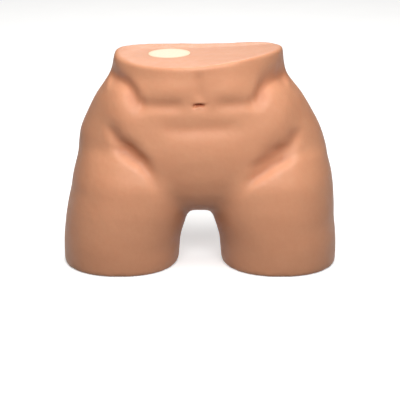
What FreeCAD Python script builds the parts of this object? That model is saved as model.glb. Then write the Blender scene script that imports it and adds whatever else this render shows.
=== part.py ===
"""A free-standing lower-torso form: waist, hips and the tops of two thighs, moulded in one soft elastomer
skin round a lighter foam core, with a blank round label let into the top face. The crotch is plain and
smooth, as on a shop mannequin. It stands on the flat ends of its thighs and has no moving parts.

Millimetres. +Z is up, -Y is the front, +X is the form's left side. The form is drawn about the axis of its
waist, and moved at the end so that the origin lies on the floor under the middle of its outline.
"""
import FreeCAD, Part

import math
import os

from FreeCAD import Placement, Rotation, Vector

# Driving sizes, each of which can be changed by itself.
hip_span = 348.0          # across the outside of both thighs, the widest place
height = 266.0            # floor to the middle of the top face
thigh_width = 147.0       # one thigh at the floor, across
thigh_front = 77.0        # the thigh's reach in front of the waist's axis, at the floor
thigh_back = 70.0         # and behind it
crotch_height = 72.0      # floor to the lowest point of the crotch
waist_width = 218.0       # at the narrowest place, where the hip flare starts
rim_width = 205.0         # across the top face
belly_front = 75.0        # the belly's reach in front of the waist's axis
loin_back = 53.0          # the small of the back's reach behind it
hip_back = 103.0          # the reach of the flat between the buttocks
buttock_width = 140.0     # one buttock, across
buttock_depth = 176.0
buttock_height = 140.0
buttock_back = 126.0      # the furthest reach behind the waist's axis
buttock_overlap = 6.0     # how far each buttock's inner side passes the middle
buttock_drop = 12.0       # how far the buttocks hang below the crotch
wall = 18.0               # the skin's thickness
rim_radius = 6.0          # the rounded edge of the top face
foot_radius = 4.0         # the rounded edge round the end of each thigh
crotch_radius = 12.0      # the rounded underside of the crotch
crotch_turn = 13.7        # how far above its underside the crotch has spread out under the belly
top_roll = 1.0            # degrees that the top face leans, up towards +X
label_diameter = 52.0
label_thickness = 0.8
label_offset = 38.0       # from the middle of the top face, towards -X
label_set_back = 7.0      # and towards the back

# Shape of the cross-sections: 2 is an ellipse, and more is squarer.
front_squareness = 2.15
back_squareness = 2.7
thigh_squareness = 2.15
points_per_section = 24
same_place = 0.01         # points closer than this are one point

# The trunk's cross-sections, from the bottom up, in three runs. Each row is level, half width, front, back.
# Underside to widest hips. Level: share of the way between them. Half width: share of half the hip span.
# Front and back: added to belly_front and hip_back. Two rows at levels of their own come first.
widest_level = 0.556      # the widest hips, as a share of the height
underside_row = (0.210, -34, -50)
turn_row = (0.470, -15, -26)
hip_rows = [
    (0.42, 0.710, -4, -4),
    (0.70, 0.840, 2, 0),
    (1.00, 0.884, 3, -5),
]
# Widest hips to the notch over the hips. Level: share of the height. Half width: share of half the hip
# span. Front and back: added to belly_front and loin_back.
flank_rows = [
    (0.67, 0.846, 2, 32),
    (0.77, 0.775, 0, 16),
    (0.855, 0.688, -2, 4),
]
# The waist, up to the rim. Level: share of the height. Half width: added to half the rim's width.
# Front and back: as above. The notch itself, below these, is waist_width across.
notch_level = 0.91
notch_hollow = 2.0        # how far the belly falls back at the notch
waist_rows = [
    (0.95, 2.5, -1, 1),
    (0.97, 0.0, 0, 2),
]
past_the_cut = 12.0       # the blank for the trunk runs this far past the top cut,
blank_taper = 4.0         # draws in by this much on each side,
blank_back = 3.0          # and reaches this much further back than the small of the back

# A thigh's cross-sections. Level: share of the thigh's own length. Then how far the outside is drawn in,
# and what is added to the half width, the front reach and the back reach.
thigh_top = 0.66          # where a thigh ends inside the hips, as a share of the height
thigh_rows = [
    (0.00, 0, 0, 0, 0),
    (0.25, 1, 1, 3, 3),
    (0.46, 5, 6, 5, 9),
    (0.66, 12, 7, 3, 12),
    (0.84, 22, -2, -10, 4),
    (1.00, 40, -18, -28, -12),
]


def power(value, squareness):
    """A cosine or sine bent towards a square, with its sign kept."""
    return math.copysign(abs(value) ** (2.0 / squareness), value)


def section(level, half_width, front, back, centre=0.0, squareness=None):
    """A closed, smooth cross-section at one level, as a wire. front and back are reaches from y = 0."""
    front_n = squareness or front_squareness
    back_n = squareness or back_squareness
    widest = (back - front) / 2.0
    points = []
    for i in range(points_per_section):
        angle = 2.0 * math.pi * i / points_per_section
        across, along = math.cos(angle), math.sin(angle)
        n = back_n if along > 0 else front_n
        reach = back - widest if along > 0 else front + widest
        points.append(Vector(centre + half_width * power(across, n), widest + reach * power(along, n),
                             level))
    curve = Part.BSplineCurve()
    curve.interpolate(Points=points, PeriodicFlag=True)
    return Part.Wire([curve.toShape()])


def flat_edges(shape, distance):
    """The edges that lie in a plane, where distance gives how far a point is from it."""
    def on_plane(point):
        return abs(distance(point)) < same_place

    def middle(edge):
        return edge.valueAt((edge.FirstParameter + edge.LastParameter) / 2)

    return [edge for edge in shape.Edges
            if on_plane(middle(edge)) and all(on_plane(corner.Point) for corner in edge.Vertexes)]


def hips(inset):
    """The trunk from the crotch to past the top cut, drawn inset by a wall."""
    underside = crotch_height + inset
    rise = height * widest_level - underside
    half_hip = hip_span / 2.0
    half_rim = rim_width / 2.0
    lowest = ((underside, underside_row), (underside + crotch_turn, turn_row))
    levels = [(level, half_hip * width, belly_front + front, hip_back + back)
              for level, (width, front, back) in lowest]
    levels += [(underside + share * rise, half_hip * width, belly_front + front, hip_back + back)
               for share, width, front, back in hip_rows]
    levels += [(height * share, half_hip * width, belly_front + front, loin_back + back)
               for share, width, front, back in flank_rows]
    levels += [(height * notch_level, waist_width / 2.0, belly_front - notch_hollow, loin_back)]
    levels += [(height * share, half_rim + width, belly_front + front, loin_back + back)
               for share, width, front, back in waist_rows]
    levels += [(height + past_the_cut, half_rim - blank_taper, belly_front, loin_back + blank_back)]
    wires = [section(z, half - inset, front - inset, back - inset) for z, half, front, back in levels]
    return Part.makeLoft(wires, True)


def round_crotch(trunk):
    """The trunk with the edge of its underside rounded over."""
    return trunk.makeFillet(crotch_radius, flat_edges(trunk, lambda p: p.z - crotch_height))


def thigh(side, inset):
    """One thigh, from the floor up into the hips. side is 1 or -1."""
    wires = []
    for share, drawn_in, wider, front, back in thigh_rows:
        level = max(height * thigh_top * share, inset)
        half_width = thigh_width / 2.0 + wider
        centre = side * (hip_span / 2.0 - drawn_in - half_width)
        reach_front, reach_back = thigh_front + front - inset, thigh_back + back - inset
        wires.append(section(level, half_width - inset, reach_front, reach_back, centre, thigh_squareness))
    return Part.makeLoft(wires, True)


def buttock(side, inset):
    """One buttock, an egg set into the back of the hips."""
    stretch = FreeCAD.Matrix()
    stretch.scale(buttock_width / 2 - inset, buttock_depth / 2 - inset, buttock_height / 2 - inset)
    egg = Part.makeSphere(1.0).transformGeometry(stretch)
    egg.translate(Vector(side * (buttock_width / 2 - buttock_overlap), buttock_back - buttock_depth / 2,
                         crotch_height + buttock_height / 2 - buttock_drop))
    return egg


def top_plane():
    """Where the top face lies: its middle, leaning up towards +X."""
    return Placement(Vector(0, 0, height), Rotation(Vector(0, 1, 0), -top_roll))


def above_the_top(inset):
    """A block, larger than the form, whose underside is the top face, lowered by an inset."""
    size = 2.0 * (hip_span + height)
    block = Part.makeBox(size, size, size, Vector(-size / 2, -size / 2, -inset))
    block.Placement = top_plane().multiply(block.Placement)
    return block


def body(trunk, inset):
    """A trunk joined to its thighs and buttocks and cut off at the top, all drawn inset by a wall."""
    limbs = [thigh(side, inset) for side in (-1, 1)] + [buttock(side, inset) for side in (-1, 1)]
    return trunk.fuse(limbs).cut(above_the_top(inset)).removeSplitter()


def rounded(shape):
    """The body with its top and bottom edges rounded over."""
    to_top = top_plane().inverse()
    tops = flat_edges(shape, lambda p: to_top.multVec(p).z)
    feet = flat_edges(shape, lambda p: p.z)
    return shape.makeFillet(rim_radius, tops).makeFillet(foot_radius, feet)


def label():
    """A thin disc, flush with the top face."""
    disc = Part.makeCylinder(label_diameter / 2, label_thickness,
                             Vector(-label_offset, label_set_back, -label_thickness))
    disc.Placement = top_plane().multiply(disc.Placement)
    return disc


def one_solid(shape):
    """The shape's only solid, checked."""
    found = shape.Solids
    assert len(found) == 1 and found[0].isValid(), f"{len(found)} solids"
    return found[0]


foam_core = one_solid(body(hips(wall), wall))
top_label = one_solid(label())
outside = one_solid(rounded(body(round_crotch(hips(0.0)), 0.0)))
skin = one_solid(outside.cut(foam_core).cut(top_label))

outline = skin.optimalBoundingBox()
to_middle = Vector(0, -(outline.YMin + outline.YMax) / 2.0, 0)
print(f"the waist's axis lies at y = {to_middle.y:.2f} mm")

os.makedirs("parts", exist_ok=True)
for name, shape in {"skin": skin, "foam_core": foam_core, "top_label": top_label}.items():
    shape.translate(to_middle)
    shape.exportStep(f"parts/{name}.step")
    box = shape.optimalBoundingBox()
    print(f"{name}: {box.XLength:.1f} x {box.YLength:.1f} x {box.ZLength:.1f} mm, "
          f"{shape.Volume / 1e6:.3f} litres, z from {box.ZMin:.2f}")
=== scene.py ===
# %% [markdown]
# # A lower-torso form, moulded in one soft skin
# The object is a free-standing form of a waist, two hips and the tops of two thighs, like the hip form that
# a shop dresses in briefs. One soft elastomer skin is moulded round a foam core, the top is cut off flat, and
# a blank round label is let into the cut. Nothing on it moves.
#
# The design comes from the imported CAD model, which is loaded first and never changed. Blender gives the skin
# its real surface: muscles, creases, a soft rim, and a finish.

# %% Load the frame
import math

import bmesh
import bpy
import numpy as np
from mathutils import Matrix, Vector, bvhtree


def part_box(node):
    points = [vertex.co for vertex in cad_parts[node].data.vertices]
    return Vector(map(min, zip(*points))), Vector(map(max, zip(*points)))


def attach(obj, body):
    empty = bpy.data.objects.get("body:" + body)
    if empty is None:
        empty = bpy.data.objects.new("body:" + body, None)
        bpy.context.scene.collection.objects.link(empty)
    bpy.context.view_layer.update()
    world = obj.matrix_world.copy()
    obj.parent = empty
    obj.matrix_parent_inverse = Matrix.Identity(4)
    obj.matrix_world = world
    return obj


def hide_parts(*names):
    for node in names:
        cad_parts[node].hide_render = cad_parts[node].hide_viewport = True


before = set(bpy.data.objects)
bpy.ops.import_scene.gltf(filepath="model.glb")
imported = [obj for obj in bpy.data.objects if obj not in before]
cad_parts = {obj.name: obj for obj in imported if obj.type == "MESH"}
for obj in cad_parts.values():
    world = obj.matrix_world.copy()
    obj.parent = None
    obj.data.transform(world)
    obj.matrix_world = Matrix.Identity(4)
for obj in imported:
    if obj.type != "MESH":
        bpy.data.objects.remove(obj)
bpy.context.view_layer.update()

mm = 0.001

# %% [markdown]
# Every size of the form below is in millimetres from the axis of its waist, and is multiplied by `mm` when it
# reaches a mesh. The label's own box tells where the waist's axis and the leaning top face are, so the skin
# lands on them.

# %% Where the CAD model is
skin_low, skin_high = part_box("skin")
label_low, label_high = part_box("top_label")
label_middle = (label_low + label_high) / 2
label_thickness = 0.8 * mm
label_diameter = 52.0 * mm
label_set_back = 7.0 * mm
top_roll = math.radians(1.0)
up_from_top = Vector((-math.sin(top_roll), 0.0, math.cos(top_roll)))
label_face = label_middle + up_from_top * label_thickness / 2
waist_y = label_middle.y - label_set_back
height = label_face.z - math.tan(top_roll) * label_face.x
label_lean = math.degrees(math.asin((label_high.z - label_low.z - label_thickness) / label_diameter))
print(f"the CAD skin is {(skin_high.x - skin_low.x) / mm:.1f} mm wide; its waist's axis lies at y "
      f"{waist_y / mm:.2f} mm, and its top at {height / mm:.2f} mm")
print(f"the label leans {label_lean:.2f} degrees, and top_roll is {math.degrees(top_roll):.2f}")

# %% [markdown]
# ## Camera, floor and lights
# The camera stands in front, a little above, and far off, so that the form looks nearly without perspective.
# The floor is a pale, faintly glossy table, wide enough to fill the picture. It glows faintly, and it gives
# the form no light back, so that the sides of the form stay dark against it. The light comes from a large soft
# lamp high in front, a soft light close in front that fades towards the feet, and one behind, over the back.

# %% The camera
camera_distance = 1.80
camera_elevation = math.radians(17.0)
camera_lens = 128.0
aim_below = math.radians(1.325)
aimed_at = Vector((0.0, waist_y, 0.120))
camera_data = bpy.data.cameras.new("camera")
camera = bpy.data.objects.new("camera", camera_data)
bpy.context.scene.collection.objects.link(camera)
to_camera = Vector((0.0, -math.cos(camera_elevation), math.sin(camera_elevation)))
camera.location = aimed_at + camera_distance * to_camera
camera.rotation_euler = (math.pi / 2 - camera_elevation - aim_below, 0.0, 0.0)
camera_data.lens = camera_lens
camera_data.sensor_width = 36.0
bpy.context.scene.camera = camera
bpy.context.scene.view_settings.view_transform = "Standard"
print("camera at", [round(c, 3) for c in camera.location], "m")


# %% A helper that makes an object from a bmesh
def object_from(bm, name):
    """A new object in the scene with the bmesh's shape. The bmesh is freed."""
    mesh = bpy.data.meshes.new(name)
    bm.to_mesh(mesh)
    bm.free()
    made = bpy.data.objects.new(name, mesh)
    bpy.context.scene.collection.objects.link(made)
    return made


# %% The floor
floor_reach = 6.0
floor_gap = 0.0002          # the form's own feet stay just clear of it
bm = bmesh.new()
bmesh.ops.create_grid(bm, x_segments=1, y_segments=1, size=floor_reach)
floor = object_from(bm, "floor")
floor.location.z = -floor_gap
floor.visible_diffuse = False
print(f"floor: {2 * floor_reach:.0f} m across")


# %% The lights
lights_aim = Vector((0, 0, 0.14))


def soft_light(name, place, size, power):
    """A wide area light that points at the middle of the form."""
    data = bpy.data.lights.new(name, "AREA")
    data.shape = "RECTANGLE"
    data.size, data.size_y = size
    data.energy = power
    light = bpy.data.objects.new(name, data)
    light.location = place
    light.rotation_euler = (lights_aim - Vector(place)).to_track_quat("-Z", "Y").to_euler()
    light.visible_camera = False
    bpy.context.scene.collection.objects.link(light)


soft_light("front", (0.04, -0.70, 0.66), (0.62, 0.26), 5.2)
soft_light("behind", (0.0, 1.2, 1.3), (0.5, 0.7), 9.0)
sun = bpy.data.objects.new("large_soft_lamp", bpy.data.lights.new("large_soft_lamp", "SUN"))
sun.data.energy = 1.75
sun.data.angle = math.radians(40.0)
sun.data.color = (1.0, 0.985, 0.965)
sun.rotation_euler = (math.radians(13.0), 0.0, math.radians(6.0))
bpy.context.scene.collection.objects.link(sun)
world = bpy.data.worlds.new("world")
bpy.context.scene.world = world
world.use_nodes = True
world.node_tree.nodes["Background"].inputs["Color"].default_value = (1.0, 0.99, 0.98, 1.0)
world.node_tree.nodes["Background"].inputs["Strength"].default_value = 0.08

# %% [markdown]
# ## Blocking out the skin
# A sculptor starts from big simple masses. Here each mass is a stack of rings: a circle, bent to the outline
# of the form at that level, and bridged to the ring below it. The trunk is one stack, each thigh another, and
# two eggs are the buttocks. They overlap, which is fine: a voxel remesh makes one closed surface round them.

# %% Rings and stacks of rings
ring_points = 72


def bent(value, squareness):
    """A cosine or sine bent towards a square, where 2 leaves it a circle, with its sign kept."""
    return math.copysign(abs(value) ** (2.0 / squareness), value)


def ring(bm, level, half_width, front, back, widest, middle, front_n, back_n):
    """One closed outline at a level. front and back are its reaches from the waist's axis, and widest is where
    it is widest."""
    made = bmesh.ops.create_circle(bm, cap_ends=False, segments=ring_points, radius=1.0)["verts"]
    for v in made:
        squareness = back_n if v.co.y > 0 else front_n
        reach = back - widest if v.co.y > 0 else front + widest
        across = middle + half_width * bent(v.co.x, squareness)
        along = widest + reach * bent(v.co.y, squareness)
        v.co = Vector((across * mm, waist_y + along * mm, level * mm))
    return sorted({e for v in made for e in v.link_edges}, key=lambda e: e.index)


def stack(bm, rows, between=4):
    """A closed mass through the rows, with more rings set evenly between them."""
    rows = np.array(rows, float)
    at = np.arange(0, len(rows) - 1 + 1e-9, 1.0 / between)
    finer = np.column_stack([np.interp(at, range(len(rows)), column) for column in rows.T])
    rings = [ring(bm, *row) for row in finer]
    for lower, upper in zip(rings, rings[1:]):
        bmesh.ops.bridge_loops(bm, edges=lower + upper)
    for end in (rings[0], rings[-1]):
        bmesh.ops.edgeloop_fill(bm, edges=end)


# %% The trunk
# level, half width, front, back, widest, middle, front squareness, back squareness
trunk_rows = [
    (72, 12, 26, 36, 4, 0, 2.0, 2.1),
    (74, 22, 37, 48, 4, 0, 2.0, 2.1),
    (79, 38, 48, 60, 4, 0, 2.05, 2.2),
    (89, 72, 60, 76, 6, 0, 2.1, 2.4),
    (105, 118, 70, 96, 8, 0, 2.1, 2.5),
    (126, 145, 76, 102, 8, 0, 2.15, 2.6),
    (150, 153.5, 77, 97, 8, 0, 2.2, 2.6),
    (172, 149.5, 76, 88, 8, 0, 2.2, 2.6),
    (193, 141, 74.5, 74, 8, 0, 2.2, 2.7),
    (214, 130, 73, 62, 8, 0, 2.15, 2.8),
    (226, 121, 73, 57, 10, 0, 2.1, 2.9),
    (236, 112.5, 73, 54, 12, 0, 2.05, 3.1),
    (243, 107.6, 73, 53, 13, 0, 2.0, 3.3),
    (250, 106.4, 73.5, 53, 14, 0, 1.95, 3.5),
    (262, 105, 74.5, 54, 15, 0, 1.92, 3.7),
    (276, 102.5, 75, 55, 15, 0, 1.92, 3.8),
    (292, 99, 75, 56, 15, 0, 1.92, 3.8),
]
blocks = bmesh.new()
stack(blocks, trunk_rows)
print("trunk:", len(blocks.faces), "faces")


# %% The thighs
# level, half width, front, back, widest, middle, squareness twice
def thigh_rows(side):
    rows = [
        (-8, 73, 76, 69, 101),
        (0, 73.6, 77, 70, 100.4),
        (33, 74.5, 80, 73, 99.3),
        (77, 79, 82, 79, 89.7),
        (115, 80.5, 80, 82, 81.5),
        (146, 72, 67, 74, 80),
        (172, 56, 48, 58, 78),
    ]
    return [(z, half, front, back, 0.5 * (back - front), side * middle, 2.15, 2.15)
            for z, half, front, back, middle in rows]


for side in (-1, 1):
    stack(blocks, thigh_rows(side))
print("trunk and thighs:", len(blocks.faces), "faces")


# %% The buttocks
def egg(bm, middle, radii, turn=0.0):
    """An egg, its middle and three radii in millimetres. It leans by turn degrees, seen from the front."""
    place = Matrix.Translation(Vector((middle[0], waist_y / mm + middle[1], middle[2])) * mm)
    lean = Matrix.Rotation(math.radians(turn), 4, "Y")
    size = Matrix.Diagonal((*(r * mm for r in radii), 1.0))
    bmesh.ops.create_uvsphere(bm, u_segments=48, v_segments=32, radius=1.0, matrix=place @ lean @ size)


for side in (-1, 1):
    egg(blocks, (side * 63, 37, 132), (69, 88, 70), turn=side * 8)
block_out = object_from(blocks, "block_out")
print("block-out:", len(block_out.data.polygons), "faces")


# %% [markdown]
# The masses still run through each other. A voxel remesh keeps only the outside of them all, as one closed
# surface of even faces, and smoothing then melts the steps between the masses, as a thumb does in clay. The
# top and the feet are cut flat after that, because smoothing would round them, and a second, finer remesh and
# a few more passes leave the soft edge that a mould gives.

# %% One surface round the blocks
def remeshed(obj, voxel):
    """The object's mesh rebuilt as one closed surface with faces of one size."""
    modifier = obj.modifiers.new("remesh", "REMESH")
    modifier.mode = "VOXEL"
    modifier.voxel_size = voxel
    modifier.use_smooth_shade = True
    apply_modifiers(obj)


def apply_modifiers(obj):
    """The object's mesh as its modifiers leave it, and no modifiers."""
    shaped = bpy.data.meshes.new_from_object(obj.evaluated_get(bpy.context.evaluated_depsgraph_get()))
    obj.modifiers.clear()
    old = obj.data
    obj.data = shaped
    bpy.data.meshes.remove(old)


def edited(obj, change):
    """Runs change on a bmesh of the object and writes it back."""
    bm = bmesh.new()
    bm.from_mesh(obj.data)
    change(bm)
    bm.to_mesh(obj.data)
    bm.free()
    obj.data.update()


def relaxed(passes):
    """A change that smooths every vertex that many times."""
    def change(bm):
        for _ in range(passes):
            bmesh.ops.smooth_vert(bm, verts=bm.verts, factor=0.5,
                                  use_axis_x=True, use_axis_y=True, use_axis_z=True)
    return change


coarse_voxel = 4.0 * mm
fine_voxel = 2.3 * mm
skin = block_out
skin.name = "moulded_skin"
remeshed(skin, coarse_voxel)
edited(skin, relaxed(14))
print("one surface:", len(skin.data.polygons), "faces")


# %% The top and the feet are cut flat
def trimmed(bm):
    """Cuts the surface off at the top face and at the floor, and closes it there."""
    for point, away in ((label_face, up_from_top), (Vector((0, 0, 0)), Vector((0, 0, -1)))):
        cut = bmesh.ops.bisect_plane(bm, geom=[*bm.verts, *bm.edges, *bm.faces], plane_co=point,
                                     plane_no=away, clear_outer=True)["geom_cut"]
        bmesh.ops.holes_fill(bm, edges=[e for e in cut if isinstance(e, bmesh.types.BMEdge)])
    bmesh.ops.triangulate(bm, faces=[f for f in bm.faces if len(f.verts) > 4])


edited(skin, trimmed)
remeshed(skin, fine_voxel)
edited(skin, relaxed(4))
print("trimmed:", len(skin.data.polygons), "faces", len(skin.data.vertices), "vertices")


# %% [markdown]
# ## Modelling the muscles and creases
# The block-out has the right masses, but it is as plain as soap. A sculptor now goes over it with two tools:
# one draws a line and presses it in, and one raises a soft oval. Both move each vertex along its own normal, by
# an amount that fades with distance, so the mesh stays even. Lines are drawn on the front or the back as if
# from straight ahead: across, then up, in millimetres.

# %% Reading and writing the surface
def surface(obj):
    """The vertices and normals as arrays, the vertices in millimetres from the waist's axis."""
    at = np.empty(len(obj.data.vertices) * 3, np.float32)
    facing = np.empty_like(at)
    obj.data.vertices.foreach_get("co", at)
    obj.data.vertices.foreach_get("normal", facing)
    return at.reshape(-1, 3).astype(float) / mm - (0, waist_y / mm, 0), facing.reshape(-1, 3).astype(float)


def moved(obj, at):
    """Writes vertices back."""
    obj.data.vertices.foreach_set("co", ((at + (0, waist_y / mm, 0)) * mm).astype(np.float32).ravel())
    obj.data.update()


def eased(value, start, end):
    """0 before start, 1 after end, and an S-curve between them."""
    t = np.clip((value - start) / (end - start), 0.0, 1.0)
    return t * t * (3.0 - 2.0 * t)


# %% The line tool
def curve_through(points, per_span=6):
    """More points on a smooth curve through the given ones."""
    p = np.array(points, float)
    p = np.vstack([2 * p[0] - p[1], p, 2 * p[-1] - p[-2]])
    out = []
    for a, b, c, d in zip(p, p[1:], p[2:], p[3:]):
        for t in np.arange(per_span) / per_span:
            out.append(0.5 * (2 * b + (c - a) * t + (2 * a - 5 * b + 4 * c - d) * t ** 2
                              + (3 * b - a - 3 * c + d) * t ** 3))
    return np.array([*out, p[-2]])


def from_line(flat, points):
    """Each point's distance from the line, less than 0 on its right, and its share of the way along it."""
    line = curve_through(points)
    nearest = np.full(len(flat), 1e9)
    share = np.zeros(len(flat))
    for i, (a, b) in enumerate(zip(line, line[1:])):
        span = b - a
        t = np.clip((flat - a) @ span / (span @ span), 0, 1)
        off = flat - (a + t[:, None] * span)
        distance = np.hypot(off[:, 0], off[:, 1])
        left = np.sign(span[0] * off[:, 1] - span[1] * off[:, 0])
        closer = distance < np.abs(nearest)
        nearest[closer] = (distance * np.where(left < 0, -1.0, 1.0))[closer]
        share[closer] = ((i + t) / (len(line) - 1))[closer]
    return nearest, share


def drawn(flat, points, left, right, fade_in=0.3, fade_out=0.3):
    """How strongly the line is felt at each point, from 0 to 1. left and right are its soft widths."""
    distance, share = from_line(flat, points)
    width = np.where(distance > 0, left, right)
    ends = eased(share, 0, max(fade_in, 1e-6)) * eased(1 - share, 0, max(fade_out, 1e-6))
    return np.exp(-(distance / width) ** 2) * ends


def oval(flat, middle, radii, turn=0.0):
    """How strongly a soft oval is felt at each point, from 0 to 1. turn is in degrees, anticlockwise."""
    c, s = math.cos(math.radians(turn)), math.sin(math.radians(turn))
    off = flat - np.array(middle, float)
    u = (off[:, 0] * c + off[:, 1] * s) / radii[0]
    v = (-off[:, 0] * s + off[:, 1] * c) / radii[1]
    return np.exp(-(u * u + v * v))


# %% The two tools, for one side of the form
def tools(flat, seen):
    """A line tool and an oval tool that work where the side is seen, and what they have done so far: push, how
    far each vertex moves along its normal in millimetres, and how strongly shade is painted on each vertex in
    the creases, 0 to 1."""
    push = np.zeros(len(flat))
    crease_shade = np.zeros(len(flat))

    def line(points, left, right, depth, shade_strength=0.0, fade_in=0.3, fade_out=0.3):
        felt = drawn(flat, points, left, right, fade_in, fade_out) * seen
        push[:] -= depth * felt
        # each line also paints shade into its crease, as strongly as it is given
        np.maximum(crease_shade, shade_strength * felt, out=crease_shade)

    def swell(middle, radii, rise, turn=0.0):
        push[:] += rise * oval(flat, middle, radii, turn) * seen

    return push, crease_shade, line, swell


# %% [markdown]
# ### The front
# The belly has an upper block on each side of a midline groove. A valley runs round each block, from the notch
# of the waist to the navel. Over each hip rolls a muscle, with a fold under it, and the groin line lies along
# the top of the thigh. The two sides differ a little, as they do on any cast of a sculpture, so each side has
# its own lines. The crotch is left plain and smooth.

# %% The lines of the front
# Lines that differ on the two sides: the right side, -1, and the left side, 1. The notch line runs from the
# waist down the outer edge of the belly's blocks, the block line under them, the fold under the hip's muscle,
# the groin line along the top of the thigh, and the band between those two.
notch_lines = {
    -1: [(-114, 240), (-104, 241), (-95, 240), (-88, 237), (-82.5, 231), (-78, 222), (-72, 211), (-67, 200)],
    1: [(113, 240), (103, 242), (92, 242), (82.5, 239.5), (76, 233.5), (71.5, 225.5), (67, 217), (61, 206)],
}
block_lines = {
    -1: [(-74, 220), (-64.5, 217), (-47.5, 217), (-29.5, 218.5), (-15, 222)],
    1: [(66, 222), (60, 220), (48.5, 219.5), (30.5, 220.5), (14, 223.5)],
}
fold_lines = {
    -1: [(-114, 196), (-108, 184.5), (-101, 173), (-92.5, 167.5), (-83.5, 162.5), (-73.5, 159.5), (-62, 158)],
    1: [(125, 186), (120, 180), (115, 174), (109.5, 167), (104, 163), (96, 161.5), (86, 160), (73.5, 158.5),
        (60, 157)],
}
band_lines = {
    -1: [(-107, 174), (-98, 165.5), (-88, 159.5), (-79, 154.5), (-70, 150), (-62, 146), (-54, 140)],
    1: [(113, 165), (104, 159), (94, 155), (84, 151.5), (73, 146), (63, 139), (55, 133)],
}
groin_lines = {
    -1: [(-110, 165), (-100.5, 160), (-89.5, 154), (-80, 148), (-72, 144), (-64.5, 137.5), (-59, 130),
         (-52, 114), (-46, 94)],
    1: [(118, 158), (106.5, 152), (99, 147), (88, 142.5), (77, 135.5), (67.5, 129), (59, 121), (52, 109),
        (46, 93)],
}
midline = [(-2, 266), (-2, 250), (-1, 236), (-1, 224)]
belly_band = [(-62, 190), (-29.5, 189), (0.5, 190), (30.5, 190.5), (64, 190.5)]

# How deep each line is pressed in, and its soft widths where they differ on its two sides
midline_depth = 2.0
belly_band_depth = 2.2
notch_depth = 6.2
block_depths = {-1: 3.2, 1: 2.4}
fold_depths = {-1: 4.2, 1: 3.6}
fold_widths = {-1: (10, 6), 1: (6, 10)}
band_depth = 4.6
groin_depth = 5.6
groin_widths = {-1: (8, 5.5), 1: (5.5, 8)}
print("deepest line of the front:", max(notch_depth, groin_depth), "mm")


# %% The front
def front_relief(at, facing):
    """The push of each vertex, and how strongly shade is painted on it in the creases, from what is on the
    front.
    """
    flat = at[:, [0, 2]]
    seen = eased(-facing[:, 1], 0.0, 0.45) * eased(facing[:, 2], 0.9, 0.6)
    waist_seen = eased(-facing[:, 1], -0.3, 0.1)
    push, crease_shade, line, swell = tools(flat, seen)
    line(midline, 6, 6, midline_depth, 0.25)
    swell((0, 160), (50, 24), 2.4)
    swell((0, 207), (60, 7), 0.6)
    line(belly_band, 9, 9, belly_band_depth, 0.35)
    for s in (-1, 1):
        # the upper block, and the valley that runs round it from the notch of the waist to the navel
        swell((s * 34, 237), (27, 14), 3.0)
        line(notch_lines[s], 8.5, 8.5, notch_depth, 1.0, 0.1, 0.3)
        line(block_lines[s], 7, 7, block_depths[s], 0.35, 0.1, 0.3)
        # painted shade at each notch of the waist, under the flare of the rim
        np.maximum(crease_shade, 0.9 * oval(flat, (s * 106, 242), (13, 7)) * waist_seen, out=crease_shade)
        # the muscle that rolls over the hip, the fold under it, and the top of the thigh
        swell((s * 99, 214), (22, 28), 5.0, turn=s * 20)
        swell((s * 90, 190), (18, 17), 2.0, turn=s * 30)
        line(fold_lines[s], *fold_widths[s], fold_depths[s], 0.7, 0.3, 0.4)
        line(band_lines[s], 8, 8, band_depth, 1.0, 0.3, 0.45)
        line(groin_lines[s], *groin_widths[s], groin_depth, 1.0, 0.25, 0.5)
    return push, crease_shade


at, facing = surface(skin)
front_push, _ = front_relief(at, facing)
print("front: pushed in up to", round(-front_push.min(), 1), "and out up to", round(front_push.max(), 1), "mm")

# %% [markdown]
# ### The back
# The back is plain: a groove down the spine, a cleft between the buttocks, a crease under each of them, and
# a low swelling on each side of the spine.

# %% The back
spine = [(-3, 290), (-3, 262), (-1, 236), (0, 205), (0, 190)]
spine_depth = 5.0
cleft = [(0, 198), (0, 170), (0, 130), (0, 84)]
cleft_depth = 7.0
seat_crease = [(16, 84), (40, 76), (72, 78), (104, 92)]
seat_crease_depth = 5.0
loin_rise = 2.5


def back_relief(at, facing):
    """The same for the back."""
    seen = eased(facing[:, 1], 0.0, 0.45) * eased(facing[:, 2], 0.9, 0.6)
    push, crease_shade, line, swell = tools(at[:, [0, 2]], seen)
    # the back's lines paint shade into their creases as well
    line(spine, 9, 9, spine_depth, 0.2, 0.0, 0.4)
    line(cleft, 7, 7, cleft_depth, 0.6, 0.25, 0.15)
    for s in (-1, 1):
        line([(s * across, up) for across, up in seat_crease], 7, 7, seat_crease_depth, 0.5, 0.2, 0.45)
        swell((s * 30, 240), (16, 30), loin_rise)
    return push, crease_shade


back_push, _ = back_relief(at, facing)
at += facing * (front_push + back_push)[:, None]
print("back: pushed in up to", round(-back_push.min(), 1), "mm")

# %% [markdown]
# ### Uneven, as cast
# A form that is cast from a sculpture is never quite the same on both sides, and its cut top isn't quite flat:
# it is twisted, low at the front on one side and at the back on the other, and it rises a little at both ends.
# Only the place round the label stays flat, because the label lies on it.

# %% Uneven sides
# level, then how far the right side and the left side stand out from an even shape
uneven = [
    (60, 0, 0), (99, -2, 4), (122, -1, 5.5), (146, 0, 6.5), (169, 1, 3), (192, 0, 0), (223, 0.6, -2),
    (239, 2.4, -2.3), (254, 2.6, -2), (264, 2, -1.5), (277, 1, -4),
]
levels, right_side, left_side = np.array(uneven, float).T
on_right = -np.interp(at[:, 2], levels, right_side)
on_left = np.interp(at[:, 2], levels, left_side)
at[:, 0] += np.where(at[:, 0] < 0, on_right, on_left) * eased(np.abs(at[:, 0]), 40, 120)
print("uneven sides: up to", max(*right_side, *left_side), "mm")

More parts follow.
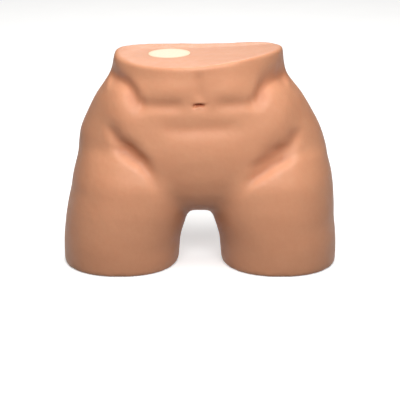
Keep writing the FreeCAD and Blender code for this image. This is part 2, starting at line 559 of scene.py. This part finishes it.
# %% An uneven top
twist = -0.00075            # rise in millimetres, for each millimetre across times each millimetre back
right_rise = 1.0            # how far the right end rises
left_rise = 6.3             # and the left end
back_rise = 2.2             # and the back edge behind the label
flat_radius = 28.0          # round the label's middle, where the top stays flat
twisted_radius = 56.0       # and from where it is fully twisted
label_at = np.array((label_middle.x, label_middle.y - waist_y)) / mm


def off_label(at):
    """Each vertex's distance from the label's middle, seen from above, in millimetres."""
    return np.hypot(at[:, 0] - label_at[0], at[:, 1] - label_at[1])


def top_level(at):
    """The level of the leaning top face over each vertex, in millimetres."""
    return height / mm + math.tan(top_roll) * at[:, 0]


x, y, z = at.T
on_top = (np.abs(z - top_level(at)) < 1.2) & (facing[:, 2] > 0.97)
z[on_top] = top_level(at)[on_top]
near_top = eased(z, height / mm - 32, height / mm - 8)
z += near_top * (twist * x * y * eased(off_label(at), flat_radius, twisted_radius)
                 + right_rise * eased(-x, 66, 104)
                 + left_rise * np.clip((x + 5) / 105, 0, 1) ** 1.3
                 + back_rise * eased(y, 33, 50) * eased(x, -92, -40) * eased(-x, -104, -86))
moved(skin, at)
edited(skin, relaxed(2))
at, facing = surface(skin)
under_label = (off_label(at) < flat_radius) & (np.abs(at[:, 2] - top_level(at)) < 3)
at[under_label, 2] = top_level(at)[under_label]
moved(skin, at)
print("top: up to", round(at[:, 2].max(), 1), "mm, with", int(under_label.sum()), "flat vertices at the label")

# %% [markdown]
# ## The navel
# The faces are about two millimetres wide, which is too coarse for a navel. So the faces round it are divided
# first, and only there. The navel is then a short slot, pressed in, with a small hood of skin drawn down over
# it and a soft lip under it.

# %% Finer faces round the navel
navel_at = np.array((-1.3, 218.4))
navel_room = 15.0           # the radius within which the faces are divided


def divided_at_navel(bm):
    """Divides the edges on the front that are near the navel."""
    def near(v):
        across = v.co.x / mm - navel_at[0]
        up = v.co.z / mm - navel_at[1]
        return v.co.y < waist_y and math.hypot(across, up) < navel_room
    edges = [e for e in bm.edges if all(near(v) for v in e.verts)]
    bmesh.ops.subdivide_edges(bm, edges=edges, cuts=2, smooth=1.0, smooth_falloff="LINEAR",
                              use_grid_fill=True)


edited(skin, divided_at_navel)
print("with finer faces at the navel:", len(skin.data.polygons), "faces")

# %% The navel
hollow_depth = 1.8
slot_depth = 6.0
hood_rise = 1.1
hood_hang = 1.0
lip_rise = 0.6
at, facing = surface(skin)
flat = at[:, [0, 2]]
on_front = eased(-facing[:, 1], 0.3, 0.7)
arch = navel_at + np.array([(-7.0, -3.6), (-4.6, -0.6), (0.0, 1.1), (4.4, 0.2), (6.6, -1.8)])
hollow = oval(flat, navel_at + (0, 0.5), (9.0, 5.5)) * on_front
slot = drawn(flat, arch, 1.9, 1.5, 0.35, 0.35) * on_front
hood = oval(flat, navel_at + (0.5, 4.6), (7.0, 2.4), turn=4) * on_front
lip = oval(flat, navel_at + (0.3, -2.6), (3.6, 2.0), turn=4) * on_front
push = -hollow_depth * hollow - slot_depth * slot + hood_rise * hood + lip_rise * lip
at += facing * push[:, None]
at[:, 2] -= hood_hang * hood
moved(skin, at)
print("navel: deepest", round(-push.min(), 1), "mm")

# %% [markdown]
# ## The label's seat and the inner wall
# The label lies flush in a shallow round seat, cut out of the top with a boolean. Then the skin gets its
# inside: a copy of the foam core's surface, turned inside out and joined to the outer surface, so that the
# skin is a real wall round the core and not a hollow shell with no thickness.

# %% The seat of the label
seat_gap = 0.25 * mm
seat_radius = label_diameter / 2 + seat_gap
cutter_depth = 4.0 * mm
bm = bmesh.new()
bmesh.ops.create_cone(bm, cap_ends=True, segments=160, radius1=seat_radius, radius2=seat_radius,
                      depth=cutter_depth)
cutter = object_from(bm, "seat_cutter")
lean = Matrix.Rotation(-top_roll, 4, "Y")
middle_of_cutter = label_face + up_from_top * (cutter_depth / 2 - label_thickness)
cutter.data.transform(Matrix.Translation(middle_of_cutter) @ lean)
seat = skin.modifiers.new("seat", "BOOLEAN")
seat.operation = "DIFFERENCE"
seat.solver = "MANIFOLD"
seat.object = cutter
apply_modifiers(skin)
bpy.data.objects.remove(cutter)
print("with the label's seat:", len(skin.data.polygons), "faces")


# %% The inner wall
def inner_wall(bm):
    """Adds the foam core's surface, facing the core."""
    core = bmesh.new()
    core.from_mesh(foam_core.data)
    core.transform(foam_core.matrix_world)
    bmesh.ops.remove_doubles(core, verts=core.verts, dist=0.01 * mm)
    bmesh.ops.recalc_face_normals(core, faces=core.faces)
    bmesh.ops.reverse_faces(core, faces=core.faces)
    mesh = bpy.data.meshes.new("inner_wall")
    core.to_mesh(mesh)
    core.free()
    bm.from_mesh(mesh)
    bpy.data.meshes.remove(mesh)
    print("edges not shared by two faces:", sum(not e.is_manifold for e in bm.edges))


foam_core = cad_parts["foam_core"]
outer = bvhtree.BVHTree.FromObject(skin, bpy.context.evaluated_depsgraph_get())
thinnest = min(outer.find_nearest(foam_core.matrix_world @ v.co)[3] for v in foam_core.data.vertices)
print(f"thinnest wall {thinnest / mm:.1f} mm")
edited(skin, inner_wall)
print("skin with both walls:", len(skin.data.polygons), "faces,",
      sum(len(p.vertices) - 2 for p in skin.data.polygons), "triangles")

# %% [markdown]
# ## Materials
# The skin is a soft matte elastomer, tinted in the mass and dusted, so it has no shine, only a broad soft
# sheen. Its colour wanders a little over a few centimetres, and up close it has fine pores. Shade is painted
# into its creases and its navel, as a darker, redder colour. How strongly each vertex gets this painted shade
# is kept on the mesh as an attribute, which the material reads, because a colour in a crease is then tied to
# the shape and needs no picture.

# %% Helpers for node materials
def new_material(name):
    """A node material's tree and its main shader. The material keeps the tree alive."""
    made = bpy.data.materials.new(name)
    made.use_nodes = True
    return made, made.node_tree, made.node_tree.nodes["Principled BSDF"]


def add_node(tree, kind, sockets, **settings):
    """A new node with its settings and sockets filled in, from constants or other nodes' outputs."""
    made = tree.nodes.new(kind)
    for key, value in settings.items():
        setattr(made, key, value)
    fill(tree, made, sockets)
    return made


def fill(tree, shader, sockets):
    """Sets or links the sockets of a node."""
    for key, value in sockets.items():
        if isinstance(value, bpy.types.NodeSocket):
            tree.links.new(value, shader.inputs[key])
        else:
            shader.inputs[key].default_value = value


def noise(tree, scale, detail=2.0, rough=0.5):
    """A cloudy pattern of that many clouds a metre, in the object's own coordinates."""
    place = add_node(tree, "ShaderNodeTexCoord", {}).outputs["Object"]
    return add_node(tree, "ShaderNodeTexNoise", {"Vector": place, "Scale": scale, "Detail": detail,
                                                 "Roughness": rough}).outputs["Fac"]


def spread(tree, value, low, high, to_low=0.0, to_high=1.0):
    """The value's range from low to high, stretched to another range."""
    return add_node(tree, "ShaderNodeMapRange", {"Value": value, "From Min": low, "From Max": high,
                                                 "To Min": to_low, "To Max": to_high}).outputs["Result"]


def mixed(tree, share, first, second):
    """Two colours, or two outputs, mixed by share. The mix node has a set of sockets for each kind of data,
    and sockets 6 and 7 and output 2 are the ones for colours."""
    made = tree.nodes.new("ShaderNodeMix")
    made.data_type = "RGBA"
    for socket, value in ((made.inputs[0], share), (made.inputs[6], first), (made.inputs[7], second)):
        if isinstance(value, bpy.types.NodeSocket):
            tree.links.new(value, socket)
        else:
            socket.default_value = (*value, 1.0) if isinstance(value, tuple) else value
    return made.outputs[2]


def bumps(tree, layers):
    """Bumps on bumps. Each layer is a pattern and how high it stands, in metres."""
    normal = None
    for pattern, rise in layers:
        made = add_node(tree, "ShaderNodeBump", {"Height": pattern, "Distance": rise, "Strength": 1.0})
        if normal is not None:
            tree.links.new(normal, made.inputs["Normal"])
        normal = made.outputs["Normal"]
    return normal


# %% How strongly shade is painted on each vertex, in the creases and the navel
at, facing = surface(skin)
_, front_crease_shade = front_relief(at, facing)
_, back_crease_shade = back_relief(at, facing)
# painted shade in the navel's hollow
navel_shade = oval(at[:, [0, 2]], navel_at, (6.0, 3.0)) * eased(-facing[:, 1], -0.2, 0.3) * (at[:, 1] < -40)
# the painted shade of the creases and the navel, kept on the mesh for the skin's material
painted_crease_shade = np.maximum(np.maximum(front_crease_shade, back_crease_shade), navel_shade)
attribute = skin.data.attributes.new("painted_crease_shade", "FLOAT", "POINT")
attribute.data.foreach_set("value", painted_crease_shade.astype(np.float32))
print("fold: up to", round(float(painted_crease_shade.max()), 2))

# %% The skin's material
peach = (0.765, 0.362, 0.204)
deeper_peach = (0.735, 0.335, 0.186)
fleck = (0.70, 0.29, 0.155)
# the darker, redder colour of the shade painted into the creases and the navel
crease_shade_red = (0.52, 0.19, 0.095)
elastomer, tree, shader = new_material("matte_elastomer")
# how strongly shade is painted here, read from the mesh's attribute
shade_in_crease = add_node(tree, "ShaderNodeAttribute", {}, attribute_name="painted_crease_shade").outputs["Fac"]
clouds = spread(tree, noise(tree, 22.0, 3.0), 0.35, 0.65)
flecks = spread(tree, noise(tree, 190.0, 3.0, 0.6), 0.3, 0.7)
colour = mixed(tree, clouds, deeper_peach, peach)
colour = mixed(tree, spread(tree, flecks, 0.0, 1.0, 0.0, 0.22), colour, fleck)
# painted shade: the creases and the navel are mixed towards the darker, redder colour
colour = mixed(tree, spread(tree, shade_in_crease, 0.05, 1.0, 0.0, 0.55), colour, crease_shade_red)
fill(tree, shader, {
    "Base Color": colour,
    "Roughness": spread(tree, noise(tree, 90.0, 2.0), 0.3, 0.7, 0.44, 0.56),
    "IOR": 1.43,
    "Subsurface Weight": 0.10,
    "Subsurface Scale": 0.004,
    "Normal": bumps(tree, [(noise(tree, 55.0, 2.0), 0.0007), (noise(tree, 1100.0, 2.0, 0.6), 0.00012)]),
})
shader.inputs["Subsurface Radius"].default_value = (1.0, 0.4, 0.25)
skin.data.materials.clear()
skin.data.materials.append(elastomer)
print("skin:", elastomer.name, len(tree.nodes), "nodes")

# %% [markdown]
# ### The foam core
# The core is a block of open-celled upholstery foam, seen only when the skin is hidden. A pattern of cells,
# about four to the centimetre, gives its pale colour a grain and makes it bumpy. Real cells in geometry would
# cost millions of faces, for a piece inside another.

# %% The foam core's material
foam, tree, shader = new_material("open_foam")
cells = add_node(tree, "ShaderNodeTexVoronoi", {
    "Vector": add_node(tree, "ShaderNodeTexCoord", {}).outputs["Object"], "Scale": 420.0}).outputs["Distance"]
fill(tree, shader, {
    "Base Color": mixed(tree, spread(tree, cells, 0.1, 0.7), (0.80, 0.74, 0.58), (0.92, 0.88, 0.76)),
    "Roughness": 0.95,
    "Normal": bumps(tree, [(noise(tree, 40.0, 3.0), 0.0015), (cells, 0.0008)]),
})

# %% [markdown]
# ### The label
# The label is a thin disc of matte plastic film: creamy, with a faint grain, a little yellower towards its
# edge, and blank. The yellowing is mixed in by the distance from the disc's middle, so it needs no picture.

# %% The label's material
cream = (0.90, 0.76, 0.55)
pale_cream = (0.94, 0.81, 0.61)
yellowed = (0.90, 0.72, 0.47)
film, tree, shader = new_material("matte_film")
place = add_node(tree, "ShaderNodeTexCoord", {}).outputs["Object"]
off_middle = add_node(tree, "ShaderNodeVectorMath", {0: place, 1: tuple(label_middle)}, operation="SUBTRACT")
from_middle = add_node(tree, "ShaderNodeVectorMath", {0: off_middle.outputs[0]}, operation="LENGTH")
near_edge = spread(tree, from_middle.outputs["Value"], 0.78 * label_diameter / 2, label_diameter / 2)
grained = mixed(tree, spread(tree, noise(tree, 260.0, 3.0), 0.3, 0.7), cream, pale_cream)
fill(tree, shader, {
    "Base Color": mixed(tree, near_edge, grained, yellowed),
    "Roughness": spread(tree, noise(tree, 700.0), 0.3, 0.7, 0.5, 0.62),
    "Normal": bumps(tree, [(noise(tree, 900.0, 3.0), 0.00006), (noise(tree, 60.0), 0.0003)]),
})

for name, made in (("foam_core", foam), ("top_label", film)):
    cad_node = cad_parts[name]
    cad_node.data.materials.clear()
    cad_node.data.materials.append(made)

# %% [markdown]
# ### The floor
# The floor is a pale table top with a faint gloss that is a little uneven, so that it carries a soft
# reflection of the form's feet. Its faint glow keeps it white right up to the form.

# %% The floor's material
table, tree, shader = new_material("pale_table")
fill(tree, shader, {
    "Base Color": mixed(tree, noise(tree, 3.0), (0.96, 0.96, 0.955), (0.97, 0.97, 0.967)),
    "Roughness": spread(tree, noise(tree, 12.0), 0.3, 0.7, 0.16, 0.20),
    "Emission Color": (1.0, 1.0, 1.0, 1.0),
    "Emission Strength": 0.42,
})
floor.data.materials.append(table)
print("materials:", [m.name for m in (elastomer, foam, film, table)])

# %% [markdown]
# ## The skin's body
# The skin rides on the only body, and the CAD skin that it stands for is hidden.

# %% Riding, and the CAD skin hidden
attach(skin, "root")
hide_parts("skin")
